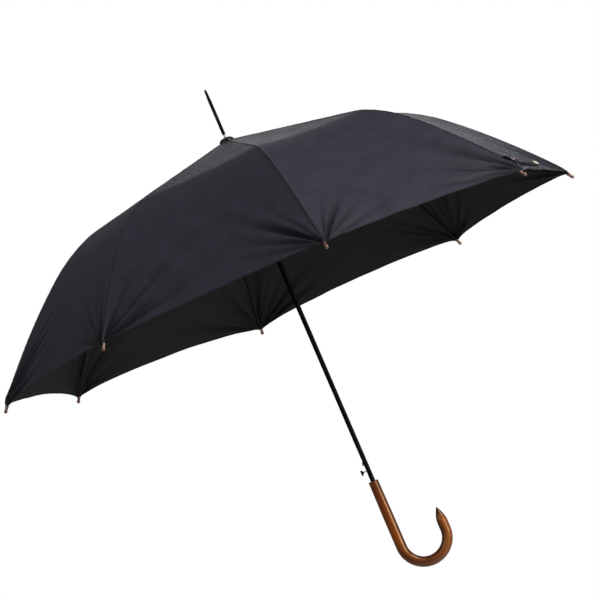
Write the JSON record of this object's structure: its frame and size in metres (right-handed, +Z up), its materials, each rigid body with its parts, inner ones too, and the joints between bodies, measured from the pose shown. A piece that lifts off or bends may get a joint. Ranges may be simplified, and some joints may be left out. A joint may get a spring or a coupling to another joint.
{
  "type": "stick umbrella",
  "caption": "Open stick umbrella with a ribbed cloth canopy on a folding frame, slim shaft, push button and wooden crook handle.",
  "frame": {"origin": "centre of the handle's top face, on the shaft's axis, where the hand's grip begins", "axes": "+Z up the shaft towards the ferrule, +X towards the side to which the crook opens"},
  "size_m": [1.0142, 1.0142, 0.8683],
  "materials": {
    "shaft_black": "glossy black enamel",
    "ferrule_black": "satin black enamel",
    "bright_steel": "bright, lightly brushed",
    "black_plastic": "glossy black moulding",
    "runner_plastic": "matte black moulding",
    "handle_wood": "reddish brown, clear gloss varnish",
    "rib_steel": "satin black",
    "tip_brown": "copper brown, glossy",
    "canopy_cloth": "tightly woven satin cloth, near black",
    "strap_cloth": "woven band, black",
    "snap_cream": "cream, glossy"
  },
  "bodies": {
    "shaft": {"shaft_tube": "shaft_black", "ferrule": "ferrule_black", "ferrule_stud": "bright_steel", "top_cap": "black_plastic", "crown_notch": "runner_plastic", "handle": "handle_wood", "handle_tip": "black_plastic"},
    "runner": {"runner": "runner_plastic"},
    "button": {"push_button": "black_plastic", "latch_spring": "bright_steel"},
    "rib_inner_1": {"rib_inner_1": "rib_steel"},
    "rib_mid_1": {"rib_mid_1": "rib_steel", "gore_1": "canopy_cloth"},
    "rib_outer_1": {"rib_outer_1": "rib_steel", "rib_tip_1": "tip_brown"},
    "stretcher_1": {"stretcher_1": "rib_steel"},
    "rib_inner_2": {"rib_inner_2": "rib_steel"},
    "rib_mid_2": {"rib_mid_2": "rib_steel", "gore_2": "canopy_cloth"},
    "rib_outer_2": {"rib_outer_2": "rib_steel", "rib_tip_2": "tip_brown"},
    "stretcher_2": {"stretcher_2": "rib_steel"},
    "rib_inner_3": {"rib_inner_3": "rib_steel"},
    "rib_mid_3": {"rib_mid_3": "rib_steel", "gore_3": "canopy_cloth"},
    "rib_outer_3": {"rib_outer_3": "rib_steel", "rib_tip_3": "tip_brown"},
    "stretcher_3": {"stretcher_3": "rib_steel"},
    "rib_inner_4": {"rib_inner_4": "rib_steel"},
    "rib_mid_4": {"rib_mid_4": "rib_steel", "gore_4": "canopy_cloth"},
    "rib_outer_4": {"rib_outer_4": "rib_steel", "rib_tip_4": "tip_brown"},
    "stretcher_4": {"stretcher_4": "rib_steel"},
    "rib_inner_5": {"rib_inner_5": "rib_steel"},
    "rib_mid_5": {"rib_mid_5": "rib_steel", "gore_5": "canopy_cloth"},
    "rib_outer_5": {"rib_outer_5": "rib_steel", "rib_tip_5": "tip_brown"},
    "stretcher_5": {"stretcher_5": "rib_steel"},
    "rib_inner_6": {"rib_inner_6": "rib_steel"},
    "rib_mid_6": {"rib_mid_6": "rib_steel", "gore_6": "canopy_cloth"},
    "rib_outer_6": {"rib_outer_6": "rib_steel", "rib_tip_6": "tip_brown"},
    "stretcher_6": {"stretcher_6": "rib_steel"},
    "rib_inner_7": {"rib_inner_7": "rib_steel"},
    "rib_mid_7": {"rib_mid_7": "rib_steel", "gore_7": "canopy_cloth"},
    "rib_outer_7": {"rib_outer_7": "rib_steel", "rib_tip_7": "tip_brown"},
    "stretcher_7": {"stretcher_7": "rib_steel"},
    "rib_inner_8": {"rib_inner_8": "rib_steel"},
    "rib_mid_8": {"rib_mid_8": "rib_steel", "gore_8": "canopy_cloth"},
    "rib_outer_8": {"rib_outer_8": "rib_steel", "rib_tip_8": "tip_brown", "closure_strap": "strap_cloth", "strap_snap": "snap_cream"},
    "stretcher_8": {"stretcher_8": "rib_steel"}
  },
  "joints": [
    {"name": "canopy_fold", "type": "hinge", "parent": "shaft", "child": "rib_inner_1", "pos_m": [0.0084, 0.00127, 0.6072], "axis": [-0.1495, 0.9888, 0], "range_deg": [0, 75.3], "deforming": ["gore_1"]},
    {"name": "rib_fold_2", "type": "hinge", "parent": "shaft", "child": "rib_inner_2", "pos_m": [0.00504, 0.00684, 0.6072], "axis": [-0.8049, 0.5934, 0], "range_deg": [0, 75.3], "deforming": ["gore_2"]},
    {"name": "rib_fold_3", "type": "hinge", "parent": "shaft", "child": "rib_inner_3", "pos_m": [-0.00127, 0.0084, 0.6072], "axis": [-0.9888, -0.1495, 0], "range_deg": [0, 75.3], "deforming": ["gore_3"]},
    {"name": "rib_fold_4", "type": "hinge", "parent": "shaft", "child": "rib_inner_4", "pos_m": [-0.00684, 0.00504, 0.6072], "axis": [-0.5934, -0.8049, 0], "range_deg": [0, 75.3], "deforming": ["gore_4"]},
    {"name": "rib_fold_5", "type": "hinge", "parent": "shaft", "child": "rib_inner_5", "pos_m": [-0.0084, -0.00127, 0.6072], "axis": [0.1495, -0.9888, 0], "range_deg": [0, 75.3], "deforming": ["gore_5"]},
    {"name": "rib_fold_6", "type": "hinge", "parent": "shaft", "child": "rib_inner_6", "pos_m": [-0.00504, -0.00684, 0.6072], "axis": [0.8049, -0.5934, 0], "range_deg": [0, 75.3], "deforming": ["gore_6"]},
    {"name": "rib_fold_7", "type": "hinge", "parent": "shaft", "child": "rib_inner_7", "pos_m": [0.00127, -0.0084, 0.6072], "axis": [0.9888, 0.1495, 0], "range_deg": [0, 75.3], "deforming": ["gore_7"]},
    {"name": "rib_fold_8", "type": "hinge", "parent": "shaft", "child": "rib_inner_8", "pos_m": [0.00684, -0.00504, 0.6072], "axis": [0.5934, 0.8049, 0], "range_deg": [0, 75.3], "deforming": ["gore_8", "closure_strap", "strap_snap"]},
    {"name": "rib_flex_mid_1", "type": "hinge", "parent": "rib_inner_1", "child": "rib_mid_1", "pos_m": [0.26311, 0.03979, 0.54956], "axis": [-0.1495, 0.9888, 0], "range_deg": [-14.31, 0]},
    {"name": "rib_flex_mid_2", "type": "hinge", "parent": "rib_inner_2", "child": "rib_mid_2", "pos_m": [0.15791, 0.21418, 0.54956], "axis": [-0.8049, 0.5934, 0], "range_deg": [-14.31, 0]},
    {"name": "rib_flex_mid_3", "type": "hinge", "parent": "rib_inner_3", "child": "rib_mid_3", "pos_m": [-0.03979, 0.26311, 0.54956], "axis": [-0.9888, -0.1495, 0], "range_deg": [-14.31, 0]},
    {"name": "rib_flex_mid_4", "type": "hinge", "parent": "rib_inner_4", "child": "rib_mid_4", "pos_m": [-0.21418, 0.15791, 0.54956], "axis": [-0.5934, -0.8049, 0], "range_deg": [-14.31, 0]},
    {"name": "rib_flex_mid_5", "type": "hinge", "parent": "rib_inner_5", "child": "rib_mid_5", "pos_m": [-0.26311, -0.03979, 0.54956], "axis": [0.1495, -0.9888, 0], "range_deg": [-14.31, 0]},
    {"name": "rib_flex_mid_6", "type": "hinge", "parent": "rib_inner_6", "child": "rib_mid_6", "pos_m": [-0.15791, -0.21418, 0.54956], "axis": [0.8049, -0.5934, 0], "range_deg": [-14.31, 0]},
    {"name": "rib_flex_mid_7", "type": "hinge", "parent": "rib_inner_7", "child": "rib_mid_7", "pos_m": [0.03979, -0.26311, 0.54956], "axis": [0.9888, 0.1495, 0], "range_deg": [-14.31, 0]},
    {"name": "rib_flex_mid_8", "type": "hinge", "parent": "rib_inner_8", "child": "rib_mid_8", "pos_m": [0.21418, -0.15791, 0.54956], "axis": [0.5934, 0.8049, 0], "range_deg": [-14.31, 0]},
    {"name": "rib_flex_outer_1", "type": "hinge", "parent": "rib_mid_1", "child": "rib_outer_1", "pos_m": [0.34007, 0.05143, 0.50642], "axis": [-0.1495, 0.9888, 0], "range_deg": [-16.41, 0]},
    {"name": "rib_flex_outer_2", "type": "hinge", "parent": "rib_mid_2", "child": "rib_outer_2", "pos_m": [0.2041, 0.27684, 0.50642], "axis": [-0.8049, 0.5934, 0], "range_deg": [-16.41, 0]},
    {"name": "rib_flex_outer_3", "type": "hinge", "parent": "rib_mid_3", "child": "rib_outer_3", "pos_m": [-0.05143, 0.34007, 0.50642], "axis": [-0.9888, -0.1495, 0], "range_deg": [-16.41, 0]},
    {"name": "rib_flex_outer_4", "type": "hinge", "parent": "rib_mid_4", "child": "rib_outer_4", "pos_m": [-0.27684, 0.2041, 0.50642], "axis": [-0.5934, -0.8049, 0], "range_deg": [-16.41, 0]},
    {"name": "rib_flex_outer_5", "type": "hinge", "parent": "rib_mid_5", "child": "rib_outer_5", "pos_m": [-0.34007, -0.05143, 0.50642], "axis": [0.1495, -0.9888, 0], "range_deg": [-16.41, 0]},
    {"name": "rib_flex_outer_6", "type": "hinge", "parent": "rib_mid_6", "child": "rib_outer_6", "pos_m": [-0.2041, -0.27684, 0.50642], "axis": [0.8049, -0.5934, 0], "range_deg": [-16.41, 0]},
    {"name": "rib_flex_outer_7", "type": "hinge", "parent": "rib_mid_7", "child": "rib_outer_7", "pos_m": [0.05143, -0.34007, 0.50642], "axis": [0.9888, 0.1495, 0], "range_deg": [-16.41, 0]},
    {"name": "rib_flex_outer_8", "type": "hinge", "parent": "rib_mid_8", "child": "rib_outer_8", "pos_m": [0.27684, -0.2041, 0.50642], "axis": [0.5934, 0.8049, 0], "range_deg": [-16.41, 0]},
    {"name": "stretcher_pivot_1", "type": "hinge", "parent": "rib_inner_1", "child": "stretcher_1", "pos_m": [0.25646, 0.03879, 0.54697], "axis": [-0.1495, 0.9888, 0], "range_deg": [-150.61, 0]},
    {"name": "stretcher_pivot_2", "type": "hinge", "parent": "rib_inner_2", "child": "stretcher_2", "pos_m": [0.15392, 0.20877, 0.54697], "axis": [-0.8049, 0.5934, 0], "range_deg": [-150.61, 0]},
    {"name": "stretcher_pivot_3", "type": "hinge", "parent": "rib_inner_3", "child": "stretcher_3", "pos_m": [-0.03879, 0.25646, 0.54697], "axis": [-0.9888, -0.1495, 0], "range_deg": [-150.61, 0]},
    {"name": "stretcher_pivot_4", "type": "hinge", "parent": "rib_inner_4", "child": "stretcher_4", "pos_m": [-0.20877, 0.15392, 0.54697], "axis": [-0.5934, -0.8049, 0], "range_deg": [-150.61, 0]},
    {"name": "stretcher_pivot_5", "type": "hinge", "parent": "rib_inner_5", "child": "stretcher_5", "pos_m": [-0.25646, -0.03879, 0.54697], "axis": [0.1495, -0.9888, 0], "range_deg": [-150.61, 0]},
    {"name": "stretcher_pivot_6", "type": "hinge", "parent": "rib_inner_6", "child": "stretcher_6", "pos_m": [-0.15392, -0.20877, 0.54697], "axis": [0.8049, -0.5934, 0], "range_deg": [-150.61, 0]},
    {"name": "stretcher_pivot_7", "type": "hinge", "parent": "rib_inner_7", "child": "stretcher_7", "pos_m": [0.03879, -0.25646, 0.54697], "axis": [0.9888, 0.1495, 0], "range_deg": [-150.61, 0]},
    {"name": "stretcher_pivot_8", "type": "hinge", "parent": "rib_inner_8", "child": "stretcher_8", "pos_m": [0.20877, -0.15392, 0.54697], "axis": [0.5934, 0.8049, 0], "range_deg": [-150.61, 0]},
    {"name": "runner_pivot", "type": "hinge", "parent": "stretcher_1", "child": "runner", "pos_m": [0.0084, 0.00127, 0.48674], "axis": [-0.1495, 0.9888, 0], "range_deg": [0, 75.31]},
    {"name": "button_press", "type": "slide", "parent": "shaft", "child": "button", "axis": [1, 0, 0], "range_m": [0, 0.003], "stiffness_N_per_m": 400}
  ],
  "couplings": [
    {"joint": "rib_fold_2", "follows": "canopy_fold", "ratio": 1},
    {"joint": "rib_fold_3", "follows": "canopy_fold", "ratio": 1},
    {"joint": "rib_fold_4", "follows": "canopy_fold", "ratio": 1},
    {"joint": "rib_fold_5", "follows": "canopy_fold", "ratio": 1},
    {"joint": "rib_fold_6", "follows": "canopy_fold", "ratio": 1},
    {"joint": "rib_fold_7", "follows": "canopy_fold", "ratio": 1},
    {"joint": "rib_fold_8", "follows": "canopy_fold", "ratio": 1},
    {"joint": "rib_flex_mid_1", "follows": "canopy_fold", "ratio": -0.18991},
    {"joint": "rib_flex_mid_2", "follows": "canopy_fold", "ratio": -0.18991},
    {"joint": "rib_flex_mid_3", "follows": "canopy_fold", "ratio": -0.18991},
    {"joint": "rib_flex_mid_4", "follows": "canopy_fold", "ratio": -0.18991},
    {"joint": "rib_flex_mid_5", "follows": "canopy_fold", "ratio": -0.18991},
    {"joint": "rib_flex_mid_6", "follows": "canopy_fold", "ratio": -0.18991},
    {"joint": "rib_flex_mid_7", "follows": "canopy_fold", "ratio": -0.18991},
    {"joint": "rib_flex_mid_8", "follows": "canopy_fold", "ratio": -0.18991},
    {"joint": "rib_flex_outer_1", "follows": "canopy_fold", "ratio": -0.21779},
    {"joint": "rib_flex_outer_2", "follows": "canopy_fold", "ratio": -0.21779},
    {"joint": "rib_flex_outer_3", "follows": "canopy_fold", "ratio": -0.21779},
    {"joint": "rib_flex_outer_4", "follows": "canopy_fold", "ratio": -0.21779},
    {"joint": "rib_flex_outer_5", "follows": "canopy_fold", "ratio": -0.21779},
    {"joint": "rib_flex_outer_6", "follows": "canopy_fold", "ratio": -0.21779},
    {"joint": "rib_flex_outer_7", "follows": "canopy_fold", "ratio": -0.21779},
    {"joint": "rib_flex_outer_8", "follows": "canopy_fold", "ratio": -0.21779},
    {"joint": "stretcher_pivot_1", "follows": "canopy_fold", "ratio": -2},
    {"joint": "stretcher_pivot_2", "follows": "canopy_fold", "ratio": -2},
    {"joint": "stretcher_pivot_3", "follows": "canopy_fold", "ratio": -2},
    {"joint": "stretcher_pivot_4", "follows": "canopy_fold", "ratio": -2},
    {"joint": "stretcher_pivot_5", "follows": "canopy_fold", "ratio": -2},
    {"joint": "stretcher_pivot_6", "follows": "canopy_fold", "ratio": -2},
    {"joint": "stretcher_pivot_7", "follows": "canopy_fold", "ratio": -2},
    {"joint": "stretcher_pivot_8", "follows": "canopy_fold", "ratio": -2},
    {"joint": "runner_pivot", "follows": "canopy_fold", "ratio": 1}
  ]
}
